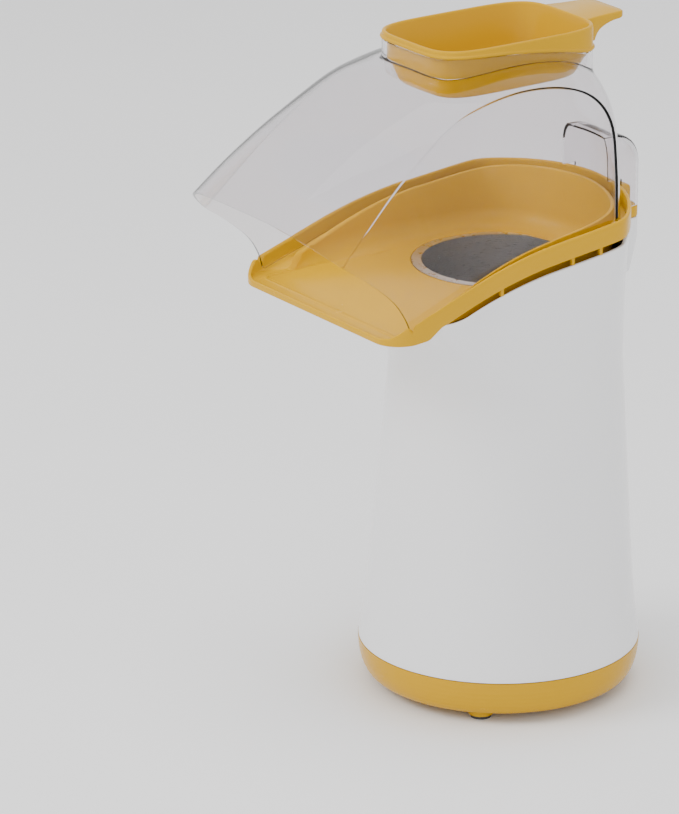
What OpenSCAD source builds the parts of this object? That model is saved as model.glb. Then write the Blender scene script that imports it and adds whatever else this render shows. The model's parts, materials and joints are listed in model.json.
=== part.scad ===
// Hot-air popcorn maker: a round white housing on a yellow base, a yellow chute
// tray, a clear lift-off hood with a visor-shaped mouth, and a lift-out measuring
// cup. Inside stand the motor, the fan, the heater and the popping chamber.
// Millimetres, +Z up, the chute faces -Y, mirror symmetry across X = 0.
// Every module works about the upright axis of the housing; on_axis() moves it
// so that the origin is the bottom centre of the whole object.

/* [Base] */
// Radius of the base where the housing starts
base_r = 74; // [72:0.5:75]
// Height of the seam between base and housing
seam_z = 24; // [22:1:26]
// Height of the underside of the base pan
base_z = 5; // [4:0.5:6]
// Wall thickness of the moulded plastic
wall = 2.4; // [2:0.1:2.8]
// Radius of the circle on which the feet stand
foot_circle_r = 59; // [56:1:60]
// Radius of a foot
foot_r = 6.5; // [5.5:0.5:7]

/* [Housing] */
// Radius of the housing at its waist
waist_r = 60.8; // [60:0.2:62]
// Height at which the top starts to flare out of the waist
flare_z = 178; // [174:1:182]
// How far the waist sits behind the axis of the base
waist_back = 2.6; // [1:0.2:3]
// Width of the slots between housing and tray
slot_h = 3.8; // [3.6:0.2:4.8]

/* [Tray] */
// Half width of the tray at its middle
tray_half_w = 66.7; // [66.4:0.1:67]
// Height of the tray's band
band_h = 10.5; // [10:0.5:11]
// Wall thickness of the band
band_t = 2; // [1.8:0.1:2.2]
// Distance from the axis to the chute's lip
lip_y = 118; // [116:1:120]
// Height of the chute floor at the lip
lip_z = 224.5; // [224:0.5:225]
// Height of the tray floor around the chamber
floor_z = 230; // [229.5:0.5:230.5]

/* [Hood] */
// Wall thickness of the clear hood
hood_t = 2; // [1.8:0.1:2.2]
// Half width of the hood's side panels low down, at the mouth's feet
hood_low_w = 66; // [65.8:0.1:66.2]
// Half width of the hood's side panels at the top
hood_top_w = 54; // [53:0.5:55]
// Distance from the axis to the visor's tip
visor_y = 167.5; // [166:0.5:168]
// Distance from the axis to the back of the hood's lifting tab
rear_y = 75; // [75:0.5:77]

/* [Cup] */
// Height of the cup's rim
cup_rim_z = 355.5; // [354:0.5:357]
// Depth of the cup
cup_depth = 26; // [24:1:27]
// Half length of the cup's mouth
cup_half_l = 48.7; // [47:0.5:49]
// Half width of the cup's mouth
cup_half_w = 32.8; // [31:0.2:33]
// Length of the cup's handle
handle_l = 26; // [22:1:30]

/* [Motor and fan] */
// Outer radius of the motor
motor_r = 17.5; // [17:0.5:18]
// Radius of the motor shaft
shaft_r = 1.6; // [1.5:0.1:1.7]
// Outer radius of the fan
fan_r = 40; // [36:1:41]
// Number of fan blades
fan_blades = 9; // [6:1:12]

/* [Heater and chamber] */
// Outer radius of the popping chamber
chamber_r = 43; // [42:0.5:43.5]
// Number of air louvres in the chamber wall
louvres = 18; // [12:2:20]
// Radius of the heater coil
coil_r = 33; // [30:0.5:34]
// Turns of the heater coil
coil_turns = 7; // [5:1:7]

/* [Hidden] */
$fn = 64;
eps = 0.01;
far = 2000;
// Clearances: a shaft in its bush, and a screw's hole below the screw's radius
running = 0.05;
bite = 0.15;

// The origin is the middle of the object's length, the axis stands behind it
axis_y = (visor_y - rear_y) / 2;

// Heights of the inside, from the table up

board_z = 14;
motor_z0 = 20;
motor_z1 = 62;
deck_z = 62;
deck_t = 3;
fan_z0 = 70;
fan_z1 = 88;
shroud_r = 47;
shroud_top_z = 98;
shield_r = 48.4;
shield_top_z = 222;
former_z0 = 98;
former_z1 = 138;
coil_pitch = 4;
chamber_z0 = 144;
flange_z = floor_z;
flange_t = 1.2;
flange_r = 47;

// Round features that repeat
post_r = 4.5;
screw_r = 1.75;
screw_head_r = 3.4;
base_screw_r = 60.5;
base_screws_a = [20, 160, 200, 340];
deck_post_r = 53;
deck_posts_a = [30, 150, 270];
tray_boss_r = 53;
tray_bosses_a = [90, 205, 335];
tab_half_w = 20;
lug_z = 245;
lug_h = 6;
skirt_low_z = 222;
cup_y = -10.8;
cup_square = 4.6;
gland_y = base_r - 12;
gland_z = 15;
gland_r = 6;
gland_flange_r = 7.6;
gland_hole_r = 3.4;

// The tray's rim runs level at the back and bends down towards the lip
rim_bend_back = -15;
rim_bend_front = -70;
rim_slope_back = 0.114;
rim_slope_front = 0.35;
rim_bend_z = 258.1;
side_taper = 0.0258;
lip_corner = 15;
corner_blend = 36;
rear_arc_r = 84.5;
rear_arc_y = -24;
spout_y = 88;
// Inset of the tray's inner wall, and drops below the rim of the parts beside it
wall_inset = 8.3;
inner_drop = 1.2;
hood_drop = 7.2;
channel_drop = 7.6;
channel_t = 2;
floor_t = 2.2;
slot_y0 = -87.9;
slot_y1 = 35;
slot_gap = 0.4;
hood_foot_y = -103.4;
rib_depths = [-49, -4, 14];

// Ribs of the hood in side view: depth, height, crown above the side panels,
// and squareness of the crown from a parabola at 2 to a box arch near 4
hood_ribs = [
    [26, 200, 29.8, 2.12],
    [26, 236, 29.8, 2.12],
    [26.3, 262, 29.5, 2.12],
    [27.6, 289, 27.4, 2.05],
    [26, 312, 24, 2.1],
    [15.5, 327, 20, 2.1],
    [-3.5, 335, 13, 2.3],
    [-30, 337, 9.5, 2.5],
    [-57.5, 332.5, 10, 2.8],
    [-77.5, 324, 14.5, 3.1],
    [-105, 303.5, 22, 3.5],
    [-125.5, 285, 27.5, 3.8],
    [-145, 266, 31.5, 3.8],
    [-166, 244, 35, 3.8],
    [-190, 215, 37, 3.8]
];

// The mouth's edge in side view, from its foot in the tray to the visor's tip
mouth_edge = [
    [-101, 214],
    [-104.5, 227.5],
    [-108.3, 237],
    [-115.2, 246.5],
    [-128.3, 257.5],
    [-143, 267.8],
    [-168, 288.5]
];

// ---------------------------------------------------------------- helpers

module on_axis() { translate([0, axis_y, 0]) children(); }

module ring_of(angles, r) {
    for (a = angles) rotate([0, 0, a]) translate([r, 0, 0]) children();
}

module tube(r_out, r_in, h) {
    difference() {
        cylinder(r = r_out, h = h);
        translate([0, 0, -1]) cylinder(r = r_in, h = h + 2);
    }
}

// Extrudes a side view, drawn as [depth, height], to half_w each way along X
module side_extrude(half_w) {
    rotate([90, 0, 90]) translate([0, 0, -half_w])
        linear_extrude(height = 2 * half_w) children();
}

// One mesh of everything inside it, for shapes built from lofted skins
module one_mesh() { resize([0, 0, 0]) children(); }

function lerp(a, b, t) = a + (b - a) * t;
function clamp01(t) = min(1, max(0, t));
function smooth(t) = let (c = clamp01(t)) c * c * (3 - 2 * c);
function signed_pow(v, p) = sign(v) * pow(abs(v), p);

// Catmull-Rom curve through the points, with steps points to each stretch
function spline_point(p, i, t) =
    let (
        last = len(p) - 1,
        p0 = i == 0 ? 2 * p[0] - p[1] : p[i - 1],
        p3 = i == last - 1 ? 2 * p[last] - p[last - 1] : p[i + 2],
        p1 = p[i],
        p2 = p[i + 1]
    )
    0.5 * (2 * p1 + (p2 - p0) * t + (2 * p0 - 5 * p1 + 4 * p2 - p3) * t * t
        + (3 * p1 - p0 - 3 * p2 + p3) * t * t * t);
function spline(p, steps) = [
    for (i = [0:len(p) - 2]) for (k = [0:steps - 1]) spline_point(p, i, k / steps),
    p[len(p) - 1]
];

// Superellipse outline about [0, y], for the cup and everything that fits it
function oval(half_w, half_l, square, y, count) = [
    for (k = [0:count - 1])
        let (a = 360 * k / count)
        [half_w * signed_pow(cos(a), 2 / square), y + half_l * signed_pow(sin(a), 2 / square)]
];

// Height of the tray's rim at depth y
function rim_z(y) =
    let (bend = rim_bend_back - rim_bend_front, rise = rim_slope_front - rim_slope_back)
    y > rim_bend_back ? rim_bend_z + rim_slope_back * (y - rim_bend_back)
    : y > rim_bend_front
        ? rim_bend_z + rim_slope_back * (y - rim_bend_back)
            - rise / (2 * bend) * pow(y - rim_bend_back, 2)
    : rim_bend_z - bend * (rim_slope_back + rim_slope_front) / 2
        + rim_slope_front * (y - rim_bend_front);

// Skin through rings of equal length; both ends are closed with flat caps
module loft(rings) {
    n = len(rings[0]);
    m = len(rings);
    polyhedron(
        points = [for (ring = rings) for (p = ring) p],
        faces = concat(
            [for (i = [0:m - 2]) for (j = [0:n - 1])
                let (a = i * n + j, b = i * n + (j + 1) % n)
                [a, a + n, b + n]],
            [for (i = [0:m - 2]) for (j = [0:n - 1])
                let (a = i * n + j, b = i * n + (j + 1) % n)
                [a, b + n, b]],
            [[for (j = [0:n - 1]) j]],
            [[for (j = [n - 1:-1:0]) (m - 1) * n + j]]
        ),
        convexity = 8
    );
}

// Skin through rings that closes on itself, last ring to first
module loop_loft(rings) {
    n = len(rings[0]);
    m = len(rings);
    polyhedron(
        points = [for (ring = rings) for (p = ring) p],
        faces = concat(
            [for (i = [0:m - 1]) for (j = [0:n - 1])
                let (a = i * n + j, b = i * n + (j + 1) % n, c = (i + 1) % m * n)
                [a, c + j, c + (j + 1) % n]],
            [for (i = [0:m - 1]) for (j = [0:n - 1])
                let (a = i * n + j, b = i * n + (j + 1) % n, c = (i + 1) % m * n)
                [a, c + (j + 1) % n, b]]
        ),
        convexity = 8
    );
}

// Round wire of radius r swept along a path, with flat ends
module wire(path, r, sides = 6) {
    last = len(path) - 1;
    rings = [
        for (i = [0:last])
            let (
                d = path[min(i + 1, last)] - path[max(i - 1, 0)],
                t = d / norm(d),
                side = cross(t, abs(t[2]) > 0.9 ? [1, 0, 0] : [0, 0, 1]),
                u = side / norm(side),
                v = cross(u, t)
            )
            [for (k = [0:sides - 1])
                path[i] + r * (cos(360 * k / sides) * u + sin(360 * k / sides) * v)]
    ];
    loft(rings);
}

function helix(r, z0, pitch, turns, steps) = [
    for (k = [0:turns * steps])
        [r * cos(360 * k / steps), r * sin(360 * k / steps), z0 + pitch * k / steps]
];

// ---------------------------------------------------------------- base

module feet_at() { ring_of([45, 135, 225, 315], foot_circle_r) children(); }

module foot_pads() {
    on_axis() color("dimgray") feet_at() {
        cylinder(r = foot_r - 1.2, h = 2);
        translate([0, 0, 1.5]) cylinder(r = 3, h = 2.5);
    }
}

module pan_shell() {
    rotate_extrude($fn = 96) difference() {
        pan_outline(0);
        translate([0, wall]) pan_outline(wall);
        translate([0, seam_z]) square([base_r + 5, 20]);
        translate([-1, 0]) square([1, seam_z + 20]);
    }
}

// Half section of the pan: flat bottom, then a side that rounds up to the seam
module pan_outline(inset) {
    corner = 7.6;
    polygon(concat(
        [[0, base_z]],
        [for (a = [0:9:90])
            [base_r - inset - corner * (1 - sin(a)), base_z + (seam_z - base_z) * (1 - cos(a))]],
        [[base_r - inset, seam_z + 10], [0, seam_z + 10]]
    ));
}

module base_pan() {
    intake_slots = 22;
    on_axis() color("goldenrod") difference() {
        union() {
            pan_shell();
            feet_at() translate([0, 0, 2]) cylinder(r = foot_r, h = base_z);
            feet_at() translate([0, 0, base_z]) cylinder(r = foot_r, h = 5);
            ring_of(base_screws_a, base_screw_r)
                translate([0, 0, base_z]) cylinder(r = post_r, h = seam_z - base_z);
            ring_of(deck_posts_a, deck_post_r)
                translate([0, 0, base_z]) cylinder(r = post_r, h = 12);
            // Locating lip that enters the housing
            translate([0, 0, seam_z - 6]) tube(base_r - 1.2, base_r - 5.4, 5);
            translate([0, 0, seam_z - 2]) tube(base_r - 3.3, base_r - 5.4, 4);
        }
        feet_at() cylinder(r = foot_r - 1.1, h = 2.1);
        feet_at() cylinder(r = 3.05, h = 4.1);
        ring_of(base_screws_a, base_screw_r) {
            cylinder(r = 2, h = 60);
            cylinder(r = screw_head_r + 0.4, h = base_z + 4);
        }
        ring_of(deck_posts_a, deck_post_r) {
            cylinder(r = 2, h = 60);
            cylinder(r = screw_head_r + 0.4, h = base_z + 4);
        }
        for (k = [0:intake_slots - 1])
            rotate([0, 0, 360 * k / intake_slots])
                translate([20, -1.5, base_z - 1]) cube([22, 3, wall + 2]);
        translate([0, gland_y, gland_z]) rotate([-90, 0, 0])
            cylinder(r = gland_r + 0.2, h = 20);
    }
}

module base_screws() {
    on_axis() color("silver") ring_of(base_screws_a, base_screw_r)
        screw(base_z + 1.5, 28);
}

// Pan-head screw standing head down, head underside at z0 + 2
module screw(z0, length) {
    translate([0, 0, z0]) difference() {
        union() {
            cylinder(r = screw_head_r, h = 2.5);
            cylinder(r = screw_r, h = length);
            translate([0, 0, length - eps])
                cylinder(r1 = screw_r, r2 = 0.6, h = 1.5);
        }
        for (a = [0, 90]) rotate([0, 0, a])
            translate([-2, -0.45, -1]) cube([4, 0.9, 2]);
    }
}

// Bush that carries the mains cord through the back of the base
module cord_gland() {
    on_axis() color("dimgray") difference() {
        union() {
            translate([0, gland_y, gland_z]) rotate([-90, 0, 0])
                cylinder(r = gland_r, h = rear_y - gland_y);
            translate([0, base_r + 0.1, gland_z]) rotate([-90, 0, 0])
                cylinder(r = gland_flange_r, h = rear_y - base_r - 0.1);
            translate([0, gland_y, gland_z]) rotate([-90, 0, 0])
                cylinder(r = gland_flange_r, h = 2.5);
        }
        translate([0, gland_y - 8, gland_z]) rotate([-90, 0, 0])
            cylinder(r = gland_hole_r, h = 40);
    }
}

// ---------------------------------------------------------------- housing

// Radius of the tray's outline along the direction a, offset inwards by inset,
// with its front wall at front_y
function side_reach(a, inset) =
    abs(cos(a)) < 0.05 ? far
    : (tray_half_w - inset) / (abs(cos(a)) + side_taper * sin(a));
function rear_reach(a, inset) =
    let (r = rear_arc_r - inset, c = rear_arc_y)
    sin(a) < -0.2 ? far : c * sin(a) + sqrt(pow(c * sin(a), 2) + r * r - c * c);
function front_reach(a, inset, front_y) =
    sin(a) > -0.05 ? far : (front_y - inset) / -sin(a);
// The rear corners are blended, the front ones are arcs of radius lip_corner
function outline_reach(a, inset, front_y) =
    let (
        p = corner_blend,
        round_back = pow(pow(side_reach(a, inset), -p) + pow(rear_reach(a, inset), -p), -1 / p),
        r = min(round_back, front_reach(a, inset, front_y)),
        cx = tray_half_w + side_taper * (front_y - lip_corner) - lip_corner,
        cy = lip_corner - front_y,
        along = abs(cos(a)) * cx + sin(a) * cy
    )
    abs(r * cos(a)) > cx && r * sin(a) < cy
        ? along + sqrt(along * along - cx * cx - cy * cy + pow(lip_corner - inset, 2))
        : r;

// Directions of the outline's corners, right half, from the front to the back
lip_corner_angles = [-66, -64.5, -63, -61.5, -60, -58.5, -57, -55.5];
rear_corner_angles = [12, 15, 18, 20, 22, 24, 26, 29, 33, 38];

// Radius of the body below the flare; it narrows from the seam to the waist
function body_r(z) =
    let (t = clamp01((z - seam_z) / (flare_z - seam_z)))
    lerp(base_r, waist_r, pow(t, 0.8));

// Height of the housing's top edge at depth y, and over the side slots
function housing_top(a) =
    let (
        r = outline_reach(a, 0, spout_y),
        y = r * sin(a),
        slot = smooth((y - slot_y0) / 2) * smooth((slot_y1 - y) / 3)
    )
    min(rim_z(y) - band_h, lerp(skirt_low_z, rim_z(y) - band_h, smooth((y + 90) / 5)))
        - slot_gap - slot_h * slot;

housing_half = concat(
    [for (a = [-90:5:-60]) a], [-57.5, -55, -52.5, -50, -47.5],
    [for (a = [-45:5:15]) a], [18, 20, 22, 24, 27], [for (a = [30:5:90]) a]
);
housing_angles = concat(
    housing_half,
    [for (i = [len(housing_half) - 2:-1:1]) 180 - housing_half[i]]
);

function housing_ring(t, inset) = [
    for (a = housing_angles)
        let (
            full_top = rim_z(outline_reach(a, 0, spout_y) * sin(a)) - band_h,
            z = lerp(seam_z, housing_top(a), t),
            lift = clamp01((z - flare_z) / (full_top - flare_z)),
            g = pow(lift, 1.8),
            back = waist_back * smooth((z - seam_z) / (flare_z - seam_z)) * (1 - g),
            r = lerp(body_r(min(z, flare_z)), outline_reach(a, 0, spout_y), g) - inset
        )
        [r * cos(a), r * sin(a) + back, z]
];

module housing_skin() {
    steps = [0, 0.12, 0.26, 0.42, 0.58, 0.7, 0.77, 0.83, 0.88, 0.92, 0.96, 1];
    outer = [for (t = steps) housing_ring(t, 0)];
    inner = [for (i = [len(steps) - 1:-1:0]) housing_ring(steps[i], wall)];
    loop_loft(concat(outer, inner));
}

// Block at the back that carries the tray's lug and the hood's tab
module rear_boss() {
    intersection() {
        side_extrude(tab_half_w) polygon([
            [50, 238], [57, 216], [69.5, 216], [70.5, 217], [rear_y - 2, 226],
            [rear_y, 234], [rear_y, lug_z - 0.3], [50, lug_z - 0.3]
        ]);
        tab_column(0, 200);
    }
}

// Upright column with rounded rear corners that trims the boss, lug and tab
module tab_column(inset, low) {
    corner = 6 - inset;
    w = tab_half_w - inset - corner;
    back = rear_y - inset - corner;
    translate([0, 0, low]) linear_extrude(height = 100) polygon(concat(
        [[-tab_half_w + inset, 40], [tab_half_w - inset, 40]],
        [for (a = [0:15:90]) [w + corner * cos(a), back + corner * sin(a)]],
        [for (a = [90:15:180]) [-w + corner * cos(a), back + corner * sin(a)]]
    ));
}

module housing() {
    on_axis() color("whitesmoke") one_mesh() difference() {
        union() {
            housing_skin();
            difference() {
                rear_boss();
                translate([0, 0, 200]) cylinder(r = 58.2, h = 60);
            }
            ring_of(base_screws_a, base_screw_r) {
                translate([0, 0, seam_z + 2.2]) cylinder(r = post_r, h = 18, $fn = 24);
                translate([0, -1.2, seam_z + 4]) cube([9, 2.4, 16]);
            }
        }
        ring_of(base_screws_a, base_screw_r)
            translate([0, 0, seam_z]) cylinder(r = screw_r - bite, h = 16, $fn = 24);
    }
}

// ---------------------------------------------------------------- tray

tray_half = concat(
    [-90], lip_corner_angles, [-50, -20, 5], rear_corner_angles, [for (a = [45:7.5:90]) a]
);
tray_angles = concat(
    tray_half,
    [for (i = [len(tray_half) - 2:-1:1]) 180 - tray_half[i]]
);
function tray_outline(inset) = [
    for (a = tray_angles) let (r = outline_reach(a, inset, lip_y)) [r * cos(a), r * sin(a)]
];

module tray_ring(inset_out, inset_in) {
    translate([0, 0, 200]) linear_extrude(height = 80) difference() {
        polygon(tray_outline(inset_out));
        polygon(tray_outline(inset_in));
    }
}

depths = [for (y = [-124:6:68]) y];

// Side view of the band: the rim above, the band's lower edge or the skirt below
module band_side() {
    polygon(concat(
        [[-124, skirt_low_z], [-106, 222.4], [-97, 223.1], [-94, 224.2],
            [-93.2, rim_z(-93.2) - band_h]],
        [for (y = depths) if (y > -92) [y, rim_z(y) - band_h]],
        [[72, rim_z(72) - band_h], [72, rim_z(72)]],
        [for (i = [len(depths) - 1:-1:0]) let (y = depths[i])
            if (y > -104) [y, rim_z(y)]],
        // Notch that shows the foot of the hood, then the fall to the lip
        [[-104.6, rim_z(-104.6)], [-106.4, 229], [-108.6, rim_z(-108.6)],
            [-110, rim_z(-110) - 0.4], [-113.5, 228], [-116, lip_z + 1.4], [-124, lip_z + 0.6]]
    ));
}

function floor_at(y) = y > -48 ? floor_z : lerp(floor_z, lip_z, smooth((-48 - y) / (lip_y - 48)));

module floor_side(drop_top, drop_low) {
    floor_depths = [for (y = [-124:6:-46]) y];
    polygon(concat(
        [for (y = floor_depths) [y, floor_at(y) - drop_low]],
        [[72, floor_z - drop_low], [72, floor_z - drop_top]],
        [for (i = [len(floor_depths) - 1:-1:0]) [floor_depths[i], floor_at(floor_depths[i]) - drop_top]]
    ));
}

// Rounded trough that the popped corn lands in, open at the front
module inner_wall() {
    intersection() {
        tray_ring(wall_inset, wall_inset + 2);
        side_extrude(90) polygon(concat(
            [[-106, 224], [-80, 226.8], [-48, floor_z - 0.8], [72, floor_z - 0.8]],
            [for (i = [len(depths) - 1:-1:0]) let (y = depths[i]) if (y > -104) [y, rim_z(y) - inner_drop]],
            [[-106, rim_z(-106) - 3]]
        ));
    }
}

module channel_floor() {
    intersection() {
        tray_ring(1, wall_inset + 1);
        side_extrude(90) polygon(concat(
            [[-110, rim_z(-110) - band_h + 0.3]],
            [for (y = depths) if (y > -104) [y, rim_z(y) - channel_drop - channel_t]],
            [for (i = [len(depths) - 1:-1:0]) let (y = depths[i])
                if (y > -104) [y, rim_z(y) - channel_drop]],
            [[-110, rim_z(-110) - channel_drop]]
        ));
    }
}

// Lug between the housing's boss and the hood's tab, with a tongue into the tab
module tray_lug() {
    intersection() {
        side_extrude(tab_half_w) polygon([
            [61.4, lug_z], [rear_y, lug_z], [rear_y, lug_z + lug_h], [61.4, lug_z + lug_h]
        ]);
        tab_column(0, 200);
    }
    side_extrude(tab_half_w - 5) polygon([
        [61.4, lug_z + 1], [rear_y - 4, lug_z + 1], [rear_y - 4, lug_z + 15], [rear_y - 6, lug_z + 17],
        [59, lug_z + 17], [59, rim_z(60) - band_h + 0.4], [61.4, rim_z(60) - band_h + 0.4]
    ]);
}

module chute_tray() {
    on_axis() color("gold") difference() {
        union() {
            intersection() {
                tray_ring(0, band_t);
                side_extrude(90) band_side();
            }
            inner_wall();
            channel_floor();
            intersection() {
                translate([0, 0, 200]) linear_extrude(height = 80)
                    polygon(tray_outline(wall_inset + 1.9));
                side_extrude(90) floor_side(0, floor_t);
            }
            // Chute floor out to the lip, full width in front of the channel
            intersection() {
                translate([0, 0, 200]) linear_extrude(height = 80) polygon(tray_outline(eps));
                side_extrude(90) polygon([
                    [-124, lip_z - 2], [-104, floor_at(-104) - 2], [-104, floor_at(-104)], [-124, lip_z]
                ]);
            }
            tray_lug();
            // Short ribs that hold the slots open
            for (y = rib_depths) for (s = [-1, 1])
                translate([
                    s * (tray_half_w - side_taper * y - 1.7) - 1, y - 1, rim_z(y) - band_h - slot_h
                ]) cube([2, 2, slot_h + 1]);
            ring_of(tray_bosses_a, tray_boss_r)
                translate([0, 0, shield_top_z + 1])
                    cylinder(r = post_r, h = floor_z - shield_top_z - 1.5);
        }
        translate([0, 0, 200]) cylinder(r = chamber_r + 0.4, h = 80);
        translate([0, 0, floor_z - 1.2]) cylinder(r = flange_r + 0.4, h = 5);
        ring_of(tray_bosses_a, tray_boss_r)
            translate([0, 0, shield_top_z]) cylinder(r = screw_r - bite, h = 6.4);
    }
}

module tray_screws() {
    on_axis() color("silver") ring_of(tray_bosses_a, tray_boss_r)
        screw(shield_top_z - 3.3, 7);
}

// ---------------------------------------------------------------- hood

function side_w(z) = lerp(hood_low_w, hood_top_w, (z - 230) / 107);

// Cross curves of the hood's outer form, moved inwards by inset
function hood_rings(inset, across) =
    let (ribs = spline(hood_ribs, 4), last = len(ribs) - 1)
    [
        for (i = [0:last])
            let (
                d = ribs[min(i + 1, last)] - ribs[max(i - 1, 0)],
                len2 = norm([d[0], d[1]]),
                out = [d[1] / len2, -d[0] / len2],
                w = side_w(ribs[i][1]) - inset
            )
            [for (k = [0:across])
                let (
                    s = -1 + 2 * k / across,
                    rise = ribs[i][2] * (1 - pow(abs(s), ribs[i][3])) - inset
                )
                [s * w, ribs[i][0] + out[0] * rise, ribs[i][1] + out[1] * rise]]
    ];

// Solid under the arch: the cross curves, flat sides and a flat underside
module hood_form(inset) {
    rings = hood_rings(inset, 20);
    m = len(rings);
    n = len(rings[0]);
    polyhedron(
        points = [for (ring = rings) for (p = ring) p],
        faces = concat(
            [for (i = [0:m - 1]) for (j = [0:n - 2])
                let (a = i * n + j, c = (i + 1) % m * n + j)
                [a, a + 1, c + 1]],
            [for (i = [0:m - 1]) for (j = [0:n - 2])
                let (a = i * n + j, c = (i + 1) % m * n + j)
                [a, c + 1, c]],
            [[for (i = [0:m - 1]) i * n]],
            [[for (i = [m - 1:-1:0]) i * n + n - 1]]
        ),
        convexity = 6
    );
}

// Side view of what is kept of the hood: above its lower edge, behind its mouth
module hood_side() {
    edge = spline(mouth_edge, 5);
    polygon(concat(
        [[100, rim_z(100) - hood_drop]],
        [for (i = [len(depths) - 1:-1:0]) let (y = depths[i])
            if (y > -100) [y, rim_z(y) - hood_drop]],
        [[hood_foot_y, rim_z(hood_foot_y) - hood_drop]],
        [for (p = edge)
            if (p[1] > rim_z(hood_foot_y) - hood_drop + 0.2 && p[0] > 0.5 - visor_y) p],
        [[-visor_y, 288.1], [-visor_y, 400], [100, 400]]
    ));
}

function flange_low(y) = 351.5 - 8.7 * pow(clamp01((y + 60) / 88), 2.2);

module collar(out, low, top_drop) {
    intersection() {
        translate([0, 0, low]) linear_extrude(height = 60)
            polygon(oval(cup_half_w + out, cup_half_l + out, cup_square, cup_y, 64));
        side_extrude(60) polygon(concat(
            [[-70, low], [50, low]],
            [for (y = [50:-6:-70]) [y, flange_low(y) - top_drop]]
        ));
    }
}

module lifting_tab(inset, low) {
    over_rim = rim_z(60) + 0.6 - (inset > 0 ? 10 : 0);
    intersection() {
        side_extrude(tab_half_w) polygon([
            [45, over_rim], [61.2, over_rim], [61.2, low], [rear_y - inset, low],
            [rear_y - inset, 274], [rear_y - 1.4 - inset, 280], [rear_y - 5 - inset, 286 - inset],
            [rear_y - 9, 288.6 - inset], [rear_y - 14, 290 - inset], [45, 290 - inset]
        ]);
        tab_column(inset, 200);
    }
}

module hood() {
    tab_low = lug_z + lug_h + 0.3;
    on_axis() color("lightgray", 0.4) one_mesh() difference() {
        union() {
            intersection() {
                hood_form(0);
                side_extrude(90) hood_side();
            }
            collar(1.8, 316, 0.3);
            difference() {
                lifting_tab(0, tab_low);
                lifting_tab(hood_t, tab_low - 10);
            }
        }
        hood_form(hood_t);
        collar(-0.2, 300, -20);
    }
}

// ---------------------------------------------------------------- cup

// A level is an offset from the cup's mouth outline and a height; the third
// value says whether that height is counted from the wedge-shaped flange
function cup_ring(level) = [
    for (p = oval(cup_half_w + level[0], cup_half_l + level[0], cup_square, cup_y, 64))
        [p[0], p[1], level[2] ? flange_low(p[1]) + level[1] : level[1]]
];

module cup_bowl() {
    bottom = cup_rim_z - cup_depth;
    fixed = false;
    wedge = true;
    levels = [
        // Outside, from the bottom up to the rim
        [-9, bottom - 1.6, fixed], [-6.5, bottom - 0.8, fixed], [-4.6, bottom + 2, fixed],
        [-3, bottom + 6, fixed], [-0.5, cup_rim_z - 14.4, fixed], [-0.5, 0, wedge],
        [2.6, 0, wedge], [2.6, 1.6, wedge], [1.8, 1.6, wedge],
        [1.8, cup_rim_z - 0.9, fixed], [1.2, cup_rim_z, fixed],
        // Inside, from the rim down to the bottom
        [0, cup_rim_z, fixed], [-1.9, cup_rim_z - 8, fixed], [-4.6, bottom + 8, fixed],
        [-5.8, bottom + 4, fixed], [-7.2, bottom + 1.2, fixed], [-10, bottom, fixed]
    ];
    loft([for (level = levels) cup_ring(level)]);
}

// Flat tab to the back with a hollowed underside, flush with the rim
module cup_handle() {
    root_y = cup_y + cup_half_l;
    end_y = root_y + handle_l + 2;
    low = flange_low(root_y) + 0.1;
    top = cup_rim_z - 0.15;
    intersection() {
        side_extrude(30) polygon(concat(
            [[root_y + 0.9, top], [end_y - 1, top], [end_y, top - 0.9], [end_y, top - 3]],
            [for (a = [0:15:90])
                [end_y - 3.3 - (handle_l - 8.4) * sin(a), low + (cup_rim_z - 4.1 - low) * cos(a)]],
            [[root_y + 0.9, low]]
        ));
        translate([0, 0, 300]) linear_extrude(height = 80) polygon([
            [-19, root_y - 4], [19, root_y - 4], [16.5, root_y + 10], [15, end_y - 4],
            [12, end_y], [-12, end_y], [-15, end_y - 4], [-16.5, root_y + 10]
        ]);
    }
}

module measuring_cup() {
    on_axis() color("orange") one_mesh() {
        cup_bowl();
        cup_handle();
    }
}

// ---------------------------------------------------------------- chamber and heater

module popping_chamber() {
    on_axis() color("lightgray") difference() {
        union() {
            translate([0, 0, chamber_z0]) cylinder(r = chamber_r, h = flange_z - chamber_z0);
            translate([0, 0, flange_z - 1.1]) cylinder(r = flange_r, h = flange_t);
        }
        translate([0, 0, chamber_z0 + 1.2]) cylinder(r = chamber_r - 1, h = 200);
        for (k = [0:louvres - 1])
            rotate([0, 0, 360 * k / louvres])
                translate([chamber_r, 0, chamber_z0 + 9])
                    rotate([0, 0, 35]) cube([14, 1.6, 11], center = true);
    }
    // Low cone that throws the kernels outwards
    on_axis() color("lightgray") translate([0, 0, chamber_z0 + 1])
        cylinder(r1 = 14, r2 = 3, h = 6);
}

module chamber_gasket() {
    on_axis() color("ivory") translate([0, 0, shield_top_z])
        tube(shield_r - 0.2, chamber_r + 0.2, flange_z - 2.3 - shield_top_z);
}

module heat_shield() {
    on_axis() color("silver") difference() {
        union() {
            translate([0, 0, shroud_top_z - 6])
                cylinder(r = shield_r, h = shield_top_z - shroud_top_z + 6);
            ring_of(tray_bosses_a, tray_boss_r)
                translate([0, 0, shield_top_z - 0.8]) cylinder(r = post_r, h = 0.8);
            translate([0, 0, shield_top_z - 0.8]) cylinder(r = shield_r + 3, h = 0.8);
        }
        translate([0, 0, shroud_top_z - 7]) cylinder(r = shield_r - 0.8, h = 200);
        ring_of(tray_bosses_a, tray_boss_r)
            translate([0, 0, shield_top_z - 5]) cylinder(r = 2, h = 10);
    }
}

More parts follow.
